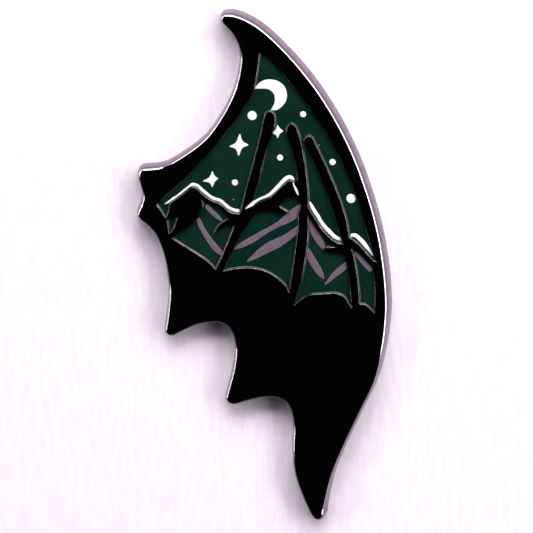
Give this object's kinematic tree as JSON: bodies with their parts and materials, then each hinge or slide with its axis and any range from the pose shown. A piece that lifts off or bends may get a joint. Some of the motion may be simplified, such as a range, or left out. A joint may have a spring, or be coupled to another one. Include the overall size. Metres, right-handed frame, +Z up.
{
  "type": "enamel pin",
  "caption": "Wing-shaped soft enamel lapel pin: struck metal plate, recessed enamel cells, printed marks, soldered posts with butterfly clutches.",
  "frame": {"origin": "on the flat back face of the wing plate, midway between the two posts", "axes": "+Z up the wing towards its top tip, -Y out of the enamelled face, +Y along the posts"},
  "size_m": [0.0298, 0.0101, 0.06],
  "materials": {
    "black_nickel": "mirror-polished black nickel plate",
    "green_enamel": "glossy soft enamel",
    "white_ink": "pad-printed ink, satin",
    "mauve_ink": "pad-printed ink, slightly grainy",
    "post_steel": "black nickel over steel wire",
    "solder": "dull solder",
    "clutch_steel": "black nickel over stamped steel",
    "spring_wire": "bright spring wire"
  },
  "bodies": {
    "wing": {"dot_1": "white_ink", "dot_2": "white_ink", "dot_3": "white_ink", "dot_4": "white_ink", "dot_5": "white_ink", "dot_6": "white_ink", "enamel_left": "green_enamel", "enamel_middle": "green_enamel", "enamel_right": "green_enamel", "enamel_rim": "green_enamel", "enamel_sky": "green_enamel", "enamel_sliver": "green_enamel", "mauve_stroke_1": "mauve_ink", "mauve_stroke_2": "mauve_ink", "mauve_stroke_3": "mauve_ink", "mauve_stroke_4": "mauve_ink", "mauve_stroke_5": "mauve_ink", "mauve_stroke_6": "mauve_ink", "mauve_stroke_7": "mauve_ink", "mauve_stroke_8": "mauve_ink", "moon": "white_ink", "post_lower": "post_steel", "post_upper": "post_steel", "snow_far": "white_ink", "snow_flick": "white_ink", "snow_left": "white_ink", "snow_middle": "white_ink", "snow_right": "white_ink", "solder_lower": "solder", "solder_upper": "solder", "star_large": "white_ink", "star_medium": "white_ink", "star_small": "white_ink", "wing_plate": "black_nickel"},
    "upper_plate": {"clutch_plate_upper": "clutch_steel"},
    "upper_head": {"clutch_cap_upper": "clutch_steel", "clutch_spring_upper": "spring_wire"},
    "upper_left_jaw": {"clutch_jaw_left_upper": "clutch_steel"},
    "upper_right_jaw": {"clutch_jaw_right_upper": "clutch_steel"},
    "lower_plate": {"clutch_plate_lower": "clutch_steel"},
    "lower_head": {"clutch_cap_lower": "clutch_steel", "clutch_spring_lower": "spring_wire"},
    "lower_left_jaw": {"clutch_jaw_left_lower": "clutch_steel"},
    "lower_right_jaw": {"clutch_jaw_right_lower": "clutch_steel"}
  },
  "joints": [
    {"name": "upper_clutch_slide", "type": "slide", "parent": "wing", "child": "upper_plate", "axis": [0, 1, 0], "range_m": [-0.002, 0.006]},
    {"name": "upper_head_spin", "type": "hinge", "parent": "upper_plate", "child": "upper_head", "pos_m": [0, 0.00287, 0.012], "axis": [0, 1, 0], "continuous": true},
    {"name": "upper_left_jaw_pinch", "type": "hinge", "parent": "upper_head", "child": "upper_left_jaw", "pos_m": [-0.0026, 0.00367, 0.012], "axis": [0, 0, -1], "range_deg": [0, 10], "stiffness_Nm_per_rad": 0.001},
    {"name": "upper_right_jaw_pinch", "type": "hinge", "parent": "upper_head", "child": "upper_right_jaw", "pos_m": [0.0026, 0.00367, 0.012], "axis": [0, 0, 1], "range_deg": [0, 10], "stiffness_Nm_per_rad": 0.001},
    {"name": "lower_clutch_slide", "type": "slide", "parent": "wing", "child": "lower_plate", "axis": [0, 1, 0], "range_m": [-0.002, 0.006]},
    {"name": "lower_head_spin", "type": "hinge", "parent": "lower_plate", "child": "lower_head", "pos_m": [0, 0.00287, -0.012], "axis": [0, 1, 0], "continuous": true},
    {"name": "lower_left_jaw_pinch", "type": "hinge", "parent": "lower_head", "child": "lower_left_jaw", "pos_m": [-0.0026, 0.00367, -0.012], "axis": [0, 0, -1], "range_deg": [0, 10], "stiffness_Nm_per_rad": 0.001},
    {"name": "lower_right_jaw_pinch", "type": "hinge", "parent": "lower_head", "child": "lower_right_jaw", "pos_m": [0.0026, 0.00367, -0.012], "axis": [0, 0, 1], "range_deg": [0, 10], "stiffness_Nm_per_rad": 0.001}
  ],
  "couplings": [
    {"joint": "upper_right_jaw_pinch", "follows": "upper_left_jaw_pinch", "ratio": 1},
    {"joint": "lower_right_jaw_pinch", "follows": "lower_left_jaw_pinch", "ratio": 1}
  ]
}
